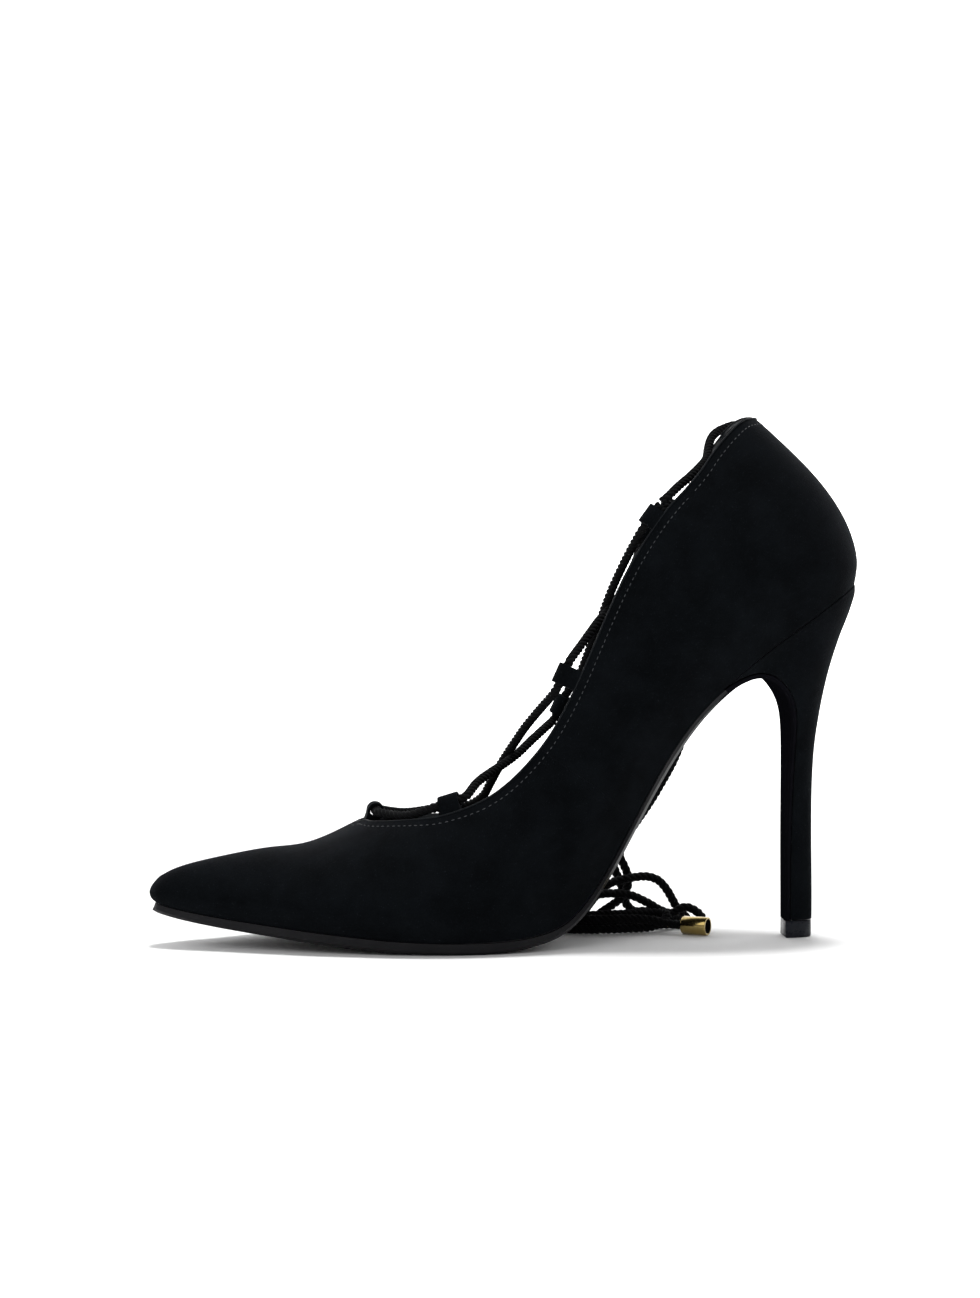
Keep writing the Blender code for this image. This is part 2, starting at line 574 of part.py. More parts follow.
def lace():
    """The laced part: from ankle loop to ankle loop, crossing twice, through the front loop."""
    stops = {
        (name, side): through(loop_frame(rib, side), reach, -1)
        for name, (*ribs, reach) in zip(("joints", "instep", "ankle"), LOOPS)
        for side, rib in zip((INNER, OUTER), ribs)
    }
    front = through(front_frame(), FRONT_REACH, -1)

    def strand(upper, lower, side):
        """A slack strand from the upper loop down to the lower loop on the given side."""
        start, end = stops[lower, side][0], stops[upper, -side][-1]
        run = end - start
        ahead = Vector((-run.z, 0, run.x)).normalized() * LACE
        return [start + run * share + ahead * out for share, out in STRANDS[lower, side]][::-1]

    def half(side):
        """Half of the laced part, from the ankle loop on the given side down to the joints."""
        return [
            *stops["ankle", side], *strand("ankle", "instep", -side),
            *stops["instep", -side], *strand("instep", "joints", side), *stops["joints", side],
        ]

    runs = [
        stops["joints", side][-1].lerp(front[place], 0.5) + Vector((0, side * 0.003, -0.0016))
        for side, place in ((OUTER, 0), (INNER, -1))
    ]
    points = [*half(OUTER), runs[0], *front, runs[1], *half(INNER)[::-1]]
    cord("lace", points, 1.4 * LACE, cord_black)


def aglet(name, cord_end, before):
    """A turned metal tube past the end of a cord, closed towards the cord and open away."""
    ahead = (cord_end - before).normalized()
    bore = AGLET_RADIUS - AGLET_WALL
    profile = (
        (0, AGLET_WALL), (bore, AGLET_WALL), (bore, AGLET_LENGTH), (AGLET_RADIUS, AGLET_LENGTH),
        (AGLET_RADIUS, AGLET_WALL / 2), (AGLET_RADIUS - AGLET_WALL / 2, 0), (0, 0),
    )
    build = bmesh.new()
    corners = [build.verts.new((radius, 0, height)) for radius, height in profile]
    for pair in zip(corners, corners[1:]):
        build.edges.new(pair)
    item = finish(build, name, brass)
    turn = item.modifiers.new("turn", "SCREW")
    turn.angle = math.tau
    turn.steps = turn.render_steps = 20
    turn.use_merge_vertices = True
    turn.merge_threshold = 1e-6
    turn.use_normal_calculate = True
    item.rotation_euler = ahead.to_track_quat("Z", "Y").to_euler()
    item.location = cord_end + ahead * 2 * GAP


def lace_end(side_name, route):
    """A free end of the lace and the aglet on it."""
    points = [Vector(point) for point in route]
    cord("lace_end_" + side_name, points, 3 * LACE, cord_black)
    aglet("aglet_" + side_name, points[-1], points[-2])


for item in list(bpy.data.objects):
    bpy.data.objects.remove(item)
shoe = bpy.data.collections.new("lace_up_heel")
bpy.context.scene.collection.children.link(shoe)
suede = principled("black_suede", (0.006, 0.006, 0.007), 0.95)
lining = principled("lining", (0.012, 0.012, 0.013), 0.6)
sole_gloss = principled("outsole_gloss", (0.012, 0.012, 0.014), 0.25)
tip_plastic = principled("top_piece_plastic", (0.03, 0.033, 0.04), 0.35)
cord_black = principled("lace_black", (0.008, 0.008, 0.009), 0.8)
brass = principled("aglet_gold", (0.8, 0.55, 0.2), 0.2, 1.0)
upper()
insole()
outsole()
heel()
top_piece()
loops()
lace()
lace_end("inner", LACE_END_INNER)
lace_end("outer", LACE_END_OUTER)
for item in shoe.objects:
    item.location -= Vector((*MIDDLE, 0))
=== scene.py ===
"""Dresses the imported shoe: suede, lining, stitches, twisted lace, loops, outsole and aglets.

Laid out as a Blender add-on and run as a script. Metres, +Z up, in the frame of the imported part.
"""

import math

import bmesh
import bpy
from mathutils import Matrix, Vector
from mathutils.bvhtree import BVHTree


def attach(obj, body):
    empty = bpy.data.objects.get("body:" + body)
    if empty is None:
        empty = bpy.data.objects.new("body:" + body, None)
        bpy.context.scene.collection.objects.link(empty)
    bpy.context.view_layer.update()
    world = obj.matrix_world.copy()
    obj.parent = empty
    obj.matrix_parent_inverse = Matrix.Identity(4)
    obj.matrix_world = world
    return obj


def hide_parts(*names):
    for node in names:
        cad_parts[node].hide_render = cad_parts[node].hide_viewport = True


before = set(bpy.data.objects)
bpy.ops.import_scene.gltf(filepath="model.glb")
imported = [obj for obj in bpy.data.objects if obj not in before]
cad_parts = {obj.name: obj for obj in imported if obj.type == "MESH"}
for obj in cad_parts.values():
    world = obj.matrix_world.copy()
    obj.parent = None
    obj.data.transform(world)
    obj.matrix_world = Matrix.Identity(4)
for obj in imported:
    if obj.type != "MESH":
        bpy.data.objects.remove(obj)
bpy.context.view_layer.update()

bl_info = {
    "name": "Lace up heel",
    "version": (1, 0, 0),
    "blender": (4, 5, 0),
    "location": "View3D > Sidebar > Shoe",
    "description": "Dresses a packed lace up heel",
    "category": "Object",
}

# The middle of the shoe in plan, seen from the middle of the last, as in the part's source.
MIDDLE = Vector((-0.0012, 0.0031, 0))

# Routes of the free ends about the middle of the last, as in the part's source.
LACE_END_INNER = (
    (0.0448, -0.0197, 0.1371), (0.0469, -0.0187, 0.1387), (0.0503, -0.0150, 0.1414),
    (0.0550, -0.0095, 0.1445), (0.0590, -0.0035, 0.1473), (0.0620, 0.0025, 0.1498),
    (0.0634, 0.0080, 0.1529), (0.0654, 0.0136, 0.1561), (0.0679, 0.0176, 0.1579),
    (0.0707, 0.0202, 0.1590), (0.0735, 0.0218, 0.1598), (0.0759, 0.0226, 0.1597),
    (0.0775, 0.0232, 0.1579), (0.0776, 0.0240, 0.1545), (0.0724, 0.0262, 0.1455),
    (0.0692, 0.0293, 0.1320), (0.0664, 0.0319, 0.1180), (0.0635, 0.0328, 0.0900),
    (0.0592, 0.0332, 0.0590), (0.0515, 0.0340, 0.0430), (0.0435, 0.0345, 0.0308),
    (0.0397, 0.0347, 0.0252), (0.0396, 0.0347, 0.0215), (0.0411, 0.0345, 0.0182),
    (0.0422, 0.0341, 0.0148), (0.0417, 0.0334, 0.0115), (0.0398, 0.0325, 0.0086),
    (0.0368, 0.0311, 0.0066), (0.0335, 0.0295, 0.0048), (0.0300, 0.0278, 0.0028),
    (0.0262, 0.0262, 0.0018), (0.0222, 0.0265, 0.0017), (0.0202, 0.0298, 0.0021),
    (0.0222, 0.0330, 0.0038), (0.0265, 0.0330, 0.0070), (0.0308, 0.0308, 0.0096),
    (0.0355, 0.0290, 0.0105), (0.0415, 0.0273, 0.0102), (0.0470, 0.0260, 0.0079),
    (0.0515, 0.0255, 0.0053), (0.0550, 0.0252, 0.0044), (0.0592, 0.0250, 0.0063),
    (0.0630, 0.0238, 0.0048), (0.0645, 0.0210, 0.0022), (0.0610, 0.0188, 0.0016),
    (0.0540, 0.0193, 0.0016), (0.0460, 0.0205, 0.0016), (0.0380, 0.0213, 0.0016),
    (0.0300, 0.0212, 0.0016), (0.0235, 0.0193, 0.0016), (0.0202, 0.0156, 0.0016),
    (0.0216, 0.0118, 0.0016), (0.0270, 0.0102, 0.0016), (0.0350, 0.0106, 0.0016),
    (0.0420, 0.0118, 0.0016), (0.0465, 0.0130, 0.0018), (0.0508, 0.0153, 0.0032),
    (0.0524, 0.0186, 0.0049), (0.0500, 0.0216, 0.0050), (0.0455, 0.0226, 0.0048),
    (0.0385, 0.0224, 0.0047), (0.0310, 0.0214, 0.0047), (0.0255, 0.0186, 0.0047),
    (0.0236, 0.0148, 0.0047), (0.0264, 0.0116, 0.0047), (0.0325, 0.0104, 0.0047),
    (0.0400, 0.0108, 0.0047), (0.0462, 0.0112, 0.0042), (0.0510, 0.0107, 0.0030),
    (0.0554, 0.0080, 0.0030),
)
LACE_END_OUTER = (
    (0.0503, 0.0210, 0.1315), (0.0513, 0.0215, 0.1333), (0.0528, 0.0229, 0.1347),
    (0.0547, 0.0254, 0.1351), (0.0567, 0.0281, 0.1339), (0.0582, 0.0298, 0.1305),
    (0.0590, 0.0309, 0.1250), (0.0598, 0.0329, 0.1120), (0.0600, 0.0355, 0.0900),
    (0.0550, 0.0368, 0.0590), (0.0470, 0.0380, 0.0430), (0.0400, 0.0385, 0.0315),
    (0.0375, 0.0387, 0.0235), (0.0380, 0.0386, 0.0185), (0.0396, 0.0384, 0.0140),
    (0.0412, 0.0382, 0.0096), (0.0423, 0.0384, 0.0056), (0.0448, 0.0388, 0.0034),
    (0.0485, 0.0385, 0.0034), (0.0530, 0.0375, 0.0024), (0.0580, 0.0360, 0.0016),
    (0.0608, 0.0330, 0.0018), (0.0595, 0.0305, 0.0032), (0.0575, 0.0297, 0.0052),
    (0.0558, 0.0293, 0.0082), (0.0538, 0.0290, 0.0116), (0.0510, 0.0288, 0.0146),
    (0.0475, 0.0288, 0.0158), (0.0435, 0.0290, 0.0156), (0.0395, 0.0297, 0.0148),
    (0.0362, 0.0318, 0.0135), (0.0332, 0.0349, 0.0107), (0.0303, 0.0380, 0.0062),
    (0.0282, 0.0420, 0.0030), (0.0248, 0.0450, 0.0030),
)

# From here on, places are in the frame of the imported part.

# Behind this place along the shoe the outsole is the flap on the heel's breast.
BREAST_START = 0.0665

# The outsole is rubbed dull in front of the first place and glossy behind the second.
RUBBED_END = 0.0
GLOSS_START = 0.035

# The side seam on the inner waist, from the topline to the sole: places along and up the shoe.
SIDE_SEAM = (
    (0.0076, 0.0622), (0.0110, 0.0598), (0.0146, 0.0574), (0.0168, 0.0558), (0.0211, 0.0530),
    (0.0258, 0.0498), (0.0302, 0.0452), (0.0352, 0.0403), (0.0380, 0.0380),
)

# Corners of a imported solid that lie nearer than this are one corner.
SAME_CORNER = 2e-6

# Distance between the rings of a strand of the lace, and corners in a ring.
RING_SPACING = 0.0005
RING_CORNERS = 9

# Corners in a ring of a packed cord.
PACKED_CORNERS = 8

# Strands reach this share of the cord's diameter outwards, and are this much fuller than
# round strands that only touch, because soft thread is pressed flat where they meet.
STRAND_REACH = 0.55
STRAND_FULLNESS = 1.06

# Corners of a loop nearer to the upper than the first are sunk into it by the second.
LOOP_FOOT = 0.0013
LOOP_SINK = 0.0004

# Angles in degrees past which an edge is a crease that gets rounded.
UPPER_CREASE = 55
SOLE_CREASE = 32

# The same angle and the width of the rounding, in metres, for the smaller solids.
ROUNDING = {
    "aglet": (50, 0.00012),
    "insole": (50, 0.0003),
    "heel": (40, 0.0003),
    "top_piece": (40, 0.00018),
    "loop": (50, 0.00018),
}

# Angle in degrees past which a corner of the upper or the heel isn't moved by hold_shape.
TURN_HELD = 30

# Share of the distance from stitch to stitch that a stitch is long.
STITCH_SHARE = 0.62

# Folds: corners in a ring and distance between the rings along the topline, and the side
# seam's radius and how far its middle lies under the suede.
FOLD_CORNERS = 8
FOLD_SPACING = 0.0012
FOLD_RADIUS = 0.00024
FOLD_DEPTH = 0.00008

# The photograph's camera: the point it looks at about the middle of the last, angles in
# degrees, distance in metres and focal length in millimetres on a 36 mm sensor.
CAMERA_TARGET = Vector((-0.006, 0, 0.091))
CAMERA_AZIMUTH = -6
CAMERA_ELEVATION = 3.9
CAMERA_DISTANCE = 1.25
CAMERA_LENS = 111.88

# The floor begins to glow at the first distance from the shoe and is all white at the second.
GLOW_START = 0.3
GLOW_FULL = 0.9

# The studio's floor from its near edge to the cove, the cove's radius, the backdrop's top and
# half of the width.
FLOOR_NEAR = -6.0
FLOOR_FAR = 3.0
COVE = 1.5
BACKDROP_TOP = 6.0
STUDIO_HALF = 8.0

# Lights: strength of the world, the sun and the soft lamp, the directions they come from, the
# sun's spread in degrees and the soft lamp's size.
WORLD_STRENGTH = 0.4
SUN_STRENGTH = 2.6
SUN_SPREAD = 12
SUN_FROM = Vector((0.05, 0.10, 1))
SOFT_POWER = 7
SOFT_SIZE = 1.2
SOFT_PLACE = Vector((-0.9, -1.1, 1.2))
SOFT_TARGET = Vector((0, 0, 0.07))


# Sizes and colours a user would change

class ShoeSizes(bpy.types.PropertyGroup):
    """Sizes of the details that the scene adds."""

    cord: bpy.props.FloatProperty(
        name="Cord", description="Diameter of the lace", default=0.0027, unit="LENGTH")
    strands: bpy.props.IntProperty(
        name="Strands", description="Strands twisted into the lace", default=3)
    twist: bpy.props.FloatProperty(
        name="Twist", description="Length of one turn of a strand", default=0.0054, unit="LENGTH")
    rim: bpy.props.FloatProperty(
        name="Rim", description="Rounding of the topline", default=0.00045, unit="LENGTH")
    sole_edge: bpy.props.FloatProperty(
        name="Sole edge", description="Rounding of the outsole's edges", default=0.00025,
        unit="LENGTH")
    seam: bpy.props.FloatProperty(
        name="Seam", description="Distance of the stitches from the topline", default=0.0026,
        unit="LENGTH")
    stitch: bpy.props.FloatProperty(
        name="Stitch", description="Distance from stitch to stitch", default=0.0019,
        unit="LENGTH")
    thread: bpy.props.FloatProperty(
        name="Thread", description="Thickness of the sewing thread", default=0.00034,
        unit="LENGTH")
    binding: bpy.props.FloatProperty(
        name="Binding", description="Thickness of the fold along the topline", default=0.0005,
        unit="LENGTH")


class ShoeColours(bpy.types.PropertyGroup):
    """Colours of the finishes."""

    suede: bpy.props.FloatVectorProperty(
        name="Suede", description="Colour of the suede", subtype="COLOR",
        default=(0.0021, 0.0027, 0.0034))
    lining: bpy.props.FloatVectorProperty(
        name="Lining", description="Colour of the lining leather", subtype="COLOR",
        default=(0.008, 0.008, 0.009))
    sole: bpy.props.FloatVectorProperty(
        name="Sole", description="Colour of the outsole", subtype="COLOR",
        default=(0.003, 0.003, 0.004))
    top_piece: bpy.props.FloatVectorProperty(
        name="Top piece", description="Colour of the top piece", subtype="COLOR",
        default=(0.006, 0.0075, 0.011))
    cord: bpy.props.FloatVectorProperty(
        name="Cord", description="Colour of the lace", subtype="COLOR",
        default=(0.0018, 0.0019, 0.0022))
    thread: bpy.props.FloatVectorProperty(
        name="Thread", description="Colour of the sewing thread", subtype="COLOR",
        default=(0.018, 0.021, 0.025))
    gold: bpy.props.FloatVectorProperty(
        name="Gold", description="Colour of the aglets", subtype="COLOR",
        default=(0.4, 0.3, 0.11))


def sizes():
    """The sizes set in the panel."""
    return bpy.context.scene.shoe_sizes


def colours():
    """The colours set in the panel."""
    return bpy.context.scene.shoe_colours


# Materials

class Nodes:
    """Short forms for building a material's nodes."""

    def __init__(self, name):
        self.material = bpy.data.materials.new(name)
        self.material.use_nodes = True
        self.tree = self.material.node_tree
        self.shader = self.tree.nodes["Principled BSDF"]

    def add(self, kind, **settings):
        """A node with its settings: names of properties, or of inputs spelt with spaces as _."""
        node = self.tree.nodes.new("ShaderNode" + kind)
        for key, value in settings.items():
            if hasattr(node, key):
                setattr(node, key, value)
            else:
                self.join(value, node.inputs[key.replace("_", " ")])
        return node

    def join(self, value, socket):
        """Link an output to a socket, or set the socket's value."""
        if isinstance(value, bpy.types.NodeSocket):
            self.tree.links.new(value, socket)
        elif hasattr(value, "__len__") and len(value) == 3 and len(socket.default_value) == 4:
            socket.default_value = (*value, 1)
        else:
            socket.default_value = value

    def noise(self, scale, detail=3.0, vector=None, roughness=0.55):
        """A noise factor on the object's coordinates, or on other ones."""
        node = self.add("TexNoise", Scale=scale, Detail=detail, Roughness=roughness)
        self.join(vector or self.place(), node.inputs["Vector"])
        return node.outputs["Fac"]

    def place(self):
        """Object coordinates."""
        return self.add("TexCoord").outputs["Object"]

    def spread(self, value, low, high, to_low=0.0, to_high=1.0):
        """A value moved from one range into another."""
        node = self.add("MapRange")
        for socket, entry in zip(node.inputs, (value, low, high, to_low, to_high)):
            self.join(entry, socket)
        return node.outputs["Result"]

    def mix(self, share, first, second):
        """A colour between two."""
        node = self.add("Mix", data_type="RGBA")
        for socket, entry in ((0, share), (6, first), (7, second)):
            self.join(entry, node.inputs[socket])
        return node.outputs[2]

    def maths(self, operation, first, second):
        """Two values put together by an operation."""
        node = self.add("Math", operation=operation)
        self.join(first, node.inputs[0])
        self.join(second, node.inputs[1])
        return node.outputs[0]

    def bump(self, height, distance, strength):
        """Relief from a height."""
        node = self.add("Bump", Distance=distance, Strength=strength)
        self.join(height, node.inputs["Height"])
        return node.outputs["Normal"]

    def set(self, **entries):
        """Values or links for the shader's sockets, with spaces spelt as _."""
        for key, value in entries.items():
            self.join(value, self.shader.inputs[key.replace("_", " ")])
        return self.material


def suede_material():
    """Black suede: a soft nap brushed lighter and darker in patches, with fine fibres."""
    make = Nodes("black_suede")
    colour = tuple(colours().suede)
    brushed = make.noise(90, 4, roughness=0.6)
    fibres = make.noise(2600, 2)
    clumps = make.noise(700, 3)
    share = make.spread(brushed, 0.35, 0.68)
    tone = make.mix(share, [c * 0.75 for c in colour], [c * 1.5 for c in colour])
    tone = make.mix(make.spread(fibres, 0.55, 0.75, 0, 0.5), tone, [c * 2.6 for c in colour])
    height = make.maths("ADD", make.maths("MULTIPLY", clumps, 0.6), fibres)
    return make.set(
        Base_Color=tone, Roughness=0.95, Specular_IOR_Level=0.03,
        Sheen_Weight=0.03, Sheen_Roughness=0.4, Sheen_Tint=(0.62, 0.66, 0.78),
        Normal=make.bump(height, 0.00022, 0.7),
    )


def lining_material():
    """Black lining leather with a fine grain."""
    make = Nodes("lining_leather")
    colour = tuple(colours().lining)
    grain = make.add("TexVoronoi", Scale=1100.0, Vector=make.place()).outputs["Distance"]
    tone = make.mix(make.noise(140), [c * 0.8 for c in colour], [c * 1.5 for c in colour])
    return make.set(
        Base_Color=tone, Roughness=make.spread(make.noise(200), 0.3, 0.7, 0.5, 0.66),
        Specular_IOR_Level=0.4, Normal=make.bump(grain, 0.00012, 0.5),
    )


def sole_material():
    """Black outsole: glossy under the waist and rubbed dull at the forepart."""
    make = Nodes("outsole_gloss")
    colour = tuple(colours().sole)
    along = make.add("SeparateXYZ", Vector=make.place()).outputs["X"]
    stretched = make.add("Mapping", Vector=make.place(), Scale=(60.0, 700.0, 200.0))
    marks = make.noise(1.0, 3, stretched.outputs["Vector"])
    return make.set(
        Base_Color=make.mix(make.noise(160), colour, [c * 1.6 for c in colour]),
        Roughness=make.maths("ADD", make.spread(marks, 0.35, 0.75, 0.12, 0.24),
                             make.spread(along, GLOSS_START, RUBBED_END, 0.0, 0.5)),
        Specular_IOR_Level=0.2,
        Normal=make.bump(make.noise(420, 2), 0.00005, 0.35),
    )


def breast_material():
    """The dull black face of the breast flap."""
    make = Nodes("breast_flap")
    colour = tuple(colours().sole)
    return make.set(
        Base_Color=make.mix(make.noise(400), colour, [c * 1.6 for c in colour]),
        Roughness=make.spread(make.noise(900), 0.35, 0.7, 0.85, 0.98),
        Specular_IOR_Level=0.0, Normal=make.bump(make.noise(900, 2), 0.00004, 0.4),
    )


def top_piece_material():
    """Dark blue grey gloss plastic with fine scuffs."""
    make = Nodes("top_piece_plastic")
    colour = tuple(colours().top_piece)
    scuffs = make.noise(900, 2)
    return make.set(
        Base_Color=make.mix(make.noise(300), colour, [c * 1.5 for c in colour]),
        Roughness=make.spread(scuffs, 0.4, 0.7, 0.26, 0.42), Specular_IOR_Level=0.15,
        Normal=make.bump(scuffs, 0.00004, 0.4),
    )


def cord_material():
    """Black thread whose fibres run along the strands, from the cord's own map."""
    make = Nodes("lace_cord")
    colour = tuple(colours().cord)
    along = make.add("UVMap", uv_map="fibres").outputs["UV"]
    fibres = make.add("Mapping", Vector=along, Scale=(90.0, 1.0, 1.0)).outputs["Vector"]
    thread = make.noise(1.0, 3, fibres)
    fuzz = make.noise(2400, 2)
    tone = make.mix(make.spread(thread, 0.35, 0.7), [c * 0.6 for c in colour],
                    [c * 2.0 for c in colour])
    height = make.maths("ADD", thread, make.maths("MULTIPLY", fuzz, 0.5))
    return make.set(
        Base_Color=tone, Roughness=0.85, Specular_IOR_Level=0.08, Sheen_Weight=0.02,
        Sheen_Roughness=0.5, Sheen_Tint=(0.65, 0.68, 0.78),
        Normal=make.bump(height, 0.00016, 0.7),
    )


def gold_material():
    """Polished gold coloured brass with fine turning marks."""
    make = Nodes("aglet_gold")
    colour = tuple(colours().gold)
    rings = make.noise(1800, 2)
    return make.set(
        Base_Color=make.mix(make.noise(400), colour, [c * 0.82 for c in colour]),
        Metallic=1.0, Roughness=make.spread(rings, 0.35, 0.7, 0.14, 0.26),
        Normal=make.bump(rings, 0.00003, 0.3),
    )


def thread_material():
    """Dark waxed sewing thread."""
    make = Nodes("sewing_thread")
    colour = tuple(colours().thread)
    return make.set(
        Base_Color=make.mix(make.noise(900), [c * 0.7 for c in colour], [c * 1.3 for c in colour]),
        Roughness=make.spread(make.noise(1500), 0.3, 0.7, 0.45, 0.65),
        Normal=make.bump(make.noise(5000, 2), 0.00004, 0.5),
    )


def edge_material():
    """Painted edge of the topline, toned lighter than the suede: edge paint and a painted
    highlight along the rim and its fold.
    """
    make = Nodes("edge_paint_and_highlight")
    # The suede's colour made lighter: partly the edge paint's own tone, partly a painted
    # highlight.
    colour = [c * 1.8 for c in colours().suede]
    return make.set(
        Base_Color=make.mix(make.noise(500), colour, [c * 1.6 for c in colour]),
        Roughness=make.spread(make.noise(800), 0.35, 0.7, 0.5, 0.65), Specular_IOR_Level=0.12,
        Normal=make.bump(make.noise(1200), 0.00006, 0.5),
    )


# Meshes

def new_piece(build, name, materials, replaced=()):
    """Make the bmesh a piece that rides on the shoe."""
    mesh = bpy.data.meshes.new(name)
    build.to_mesh(mesh)
    build.free()
    for material in materials:
        mesh.materials.append(material)
    mesh.shade_smooth()
    item = bpy.data.objects.new(name, mesh)
    bpy.context.scene.collection.objects.link(item)
    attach(item, "root")
    if replaced:
        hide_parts(*replaced)
    return item


def solid_copy(node):
    """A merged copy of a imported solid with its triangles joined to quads."""
    build = bmesh.new()
    build.from_mesh(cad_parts[node].data)
    bmesh.ops.remove_doubles(build, verts=build.verts, dist=SAME_CORNER)
    bmesh.ops.recalc_face_normals(build, faces=build.faces)
    bmesh.ops.join_triangles(
        build, faces=build.faces, angle_face_threshold=math.radians(28),
        angle_shape_threshold=math.radians(75))
    return build


def sharp_edges(build, angle):
    """Edges whose faces meet at more than an angle in degrees."""
    return [edge for edge in build.edges
            if len(edge.link_faces) == 2 and edge.calc_face_angle(0) > math.radians(angle)]


def hold_shape(build, most=0.0006):
    """Move corners out by what the smoothing will take in, away from sharp and open edges."""
    moves = []
    for vert in build.verts:
        edges = vert.link_edges
        if len(edges) != len(vert.link_faces) or len(edges) < 3:
            continue
        if any(edge.calc_face_angle(0) > math.radians(TURN_HELD) for edge in edges):
            continue
        near = [edge.other_vert(vert) for edge in edges]
        far = [other for face in vert.link_faces for other in face.verts
               if other is not vert and other not in near]
        count = len(edges)
        pull = 4 * sum((other.co - vert.co for other in near), Vector()) / count
        if far:
            pull += sum((other.co - vert.co for other in far), Vector()) / len(far)
        pull *= 4 / 36
        out = -vert.normal * pull.dot(vert.normal)
        if out.length > most:
            out = out.normalized() * most
        moves.append((vert, out))
    for vert, out in moves:
        vert.co += out


def round_edges(build, edges, width):
    """Round edges with a bevel."""
    bmesh.ops.bevel(
        build, geom=edges, offset=width, offset_type="OFFSET", segments=2,
        profile=0.5, affect="EDGES", material=-1, clamp_overlap=True)


def round_creases(build, kind):
    """Round the creases of a solid by its kind's row of ROUNDING."""
    angle, width = ROUNDING[kind]
    round_edges(build, sharp_edges(build, angle), width)


def subdivide(item):
    """Smooth a piece with Subdivision Surface."""
    smooth = item.modifiers.new("smooth", "SUBSURF")
    smooth.levels = smooth.render_levels = 2


def curve_between(four, share):
    """Centripetal Catmull-Rom point between the middle two of four points."""
    knots = [0.0]
    for start, end in zip(four, four[1:]):
        knots.append(knots[-1] + max((end - start).length, 1e-6) ** 0.5)
    place = knots[1] + (knots[2] - knots[1]) * share

    def blend(first, second, low, high):
        return first.lerp(second, (place - knots[low]) / (knots[high] - knots[low]))

    a, b, c = (blend(four[i], four[i + 1], i, i + 1) for i in range(3))
    return blend(blend(a, b, 0, 2), blend(b, c, 1, 3), 1, 2)


def smooth_path(points, spacing):
    """Points about a spacing apart on a smooth curve through the given ones."""
    fine = []
    ends = [2 * points[0] - points[1], *points, 2 * points[-1] - points[-2]]
    for i in range(len(points) - 1):
        fine += [curve_between(ends[i:i + 4], share / 24) for share in range(24)]
    fine.append(points[-1])
    lengths = [0.0]
    for start, end in zip(fine, fine[1:]):
        lengths.append(lengths[-1] + (end - start).length)
    count = max(2, round(lengths[-1] / spacing))
    path, place = [], 0
    for i in range(count + 1):
        target = lengths[-1] * i / count
        while place < len(fine) - 2 and lengths[place + 1] < target:
            place += 1
        span = lengths[place + 1] - lengths[place]
        path.append(fine[place].lerp(fine[place + 1], (target - lengths[place]) / span))
    return path


def frames_along(path):
    """For each point of a path: the point, a side and an up that don't twist along it."""
    ahead = (path[1] - path[0]).normalized()
    side = ahead.orthogonal().normalized()
    frames = []
    for place, point in enumerate(path):
        before, after = path[max(place - 1, 0)], path[min(place + 1, len(path) - 1)]
        new_ahead = (after - before).normalized()
        side = ahead.rotation_difference(new_ahead) @ side
        side = (side - new_ahead * side.dot(new_ahead)).normalized()
        ahead = new_ahead
        frames.append((point, side, ahead.cross(side)))
    return frames


def add_tube(build, path, radius, sides, chart=None):
    """Add a round closed tube along a path to the bmesh."""
    rings = []
    for point, side, up in frames_along(path):
        rings.append([])
        for i in range(sides):
            angle = 2 * math.pi * i / sides
            rings[-1].append(build.verts.new(
                point + (side * math.cos(angle) + up * math.sin(angle)) * radius))
    along = 0.0
    for place, (low, high) in enumerate(zip(rings, rings[1:])):
        further = along + (path[place + 1] - path[place]).length
        for i in range(sides):
            j = (i + 1) % sides
            face = build.faces.new((low[i], low[j], high[j], high[i]))
            if chart:
                corners = ((i, along), (i + 1, along), (i + 1, further), (i, further))
                for loop, (around, length) in zip(face.loops, corners):
                    loop[chart].uv = (around / sides, length * 100)
        along = further
    build.faces.new(rings[0][::-1])
    build.faces.new(rings[-1])


def twisted_cord(path):
    """A cord of round strands that turn round a path with RING_SPACING between its points."""
    strands = sizes().strands
    outside = sizes().cord * STRAND_REACH
    share = math.sin(math.pi / strands)
    radius = outside * share / (1 + share) * STRAND_FULLNESS
    build = bmesh.new()
    chart = build.loops.layers.uv.new("fibres")
    frames = frames_along(path)
    for strand in range(strands):
        line = []
        for place, (point, side, up) in enumerate(frames):
            turned = 2 * math.pi * (place * RING_SPACING / sizes().twist + strand / strands)
            line.append(point + (side * math.cos(turned) + up * math.sin(turned))
                        * (outside - radius))
        add_tube(build, line, radius, RING_CORNERS, chart)
    bmesh.ops.recalc_face_normals(build, faces=build.faces)
    return build


def tube_centres(node, start):
    """Centres of the rings of corners of a packed cord, walked from the end at start."""
    build = bmesh.new()
    build.from_mesh(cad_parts[node].data)
    bmesh.ops.remove_doubles(build, verts=build.verts, dist=SAME_CORNER)
    ring = sorted(build.verts, key=lambda vert: (vert.co - start).length)[:PACKED_CORNERS]
    seen, layers = set(ring), []
    while ring:
        layers.append(sum((vert.co for vert in ring), Vector()) / len(ring))
        following = {edge.other_vert(vert) for vert in ring for edge in vert.link_edges} - seen
        seen |= following
        ring = list(following)
    build.free()
    return layers


def skin(item, indices):
    """The shown faces of a piece with the given materials, to find places on."""
    shown = item.evaluated_get(bpy.context.evaluated_depsgraph_get())
    mesh = shown.to_mesh()
    faces = [tuple(face.vertices) for face in mesh.polygons if face.material_index in indices]
    tree = BVHTree.FromPolygons([vert.co for vert in mesh.vertices], faces)
    shown.to_mesh_clear()
    return tree


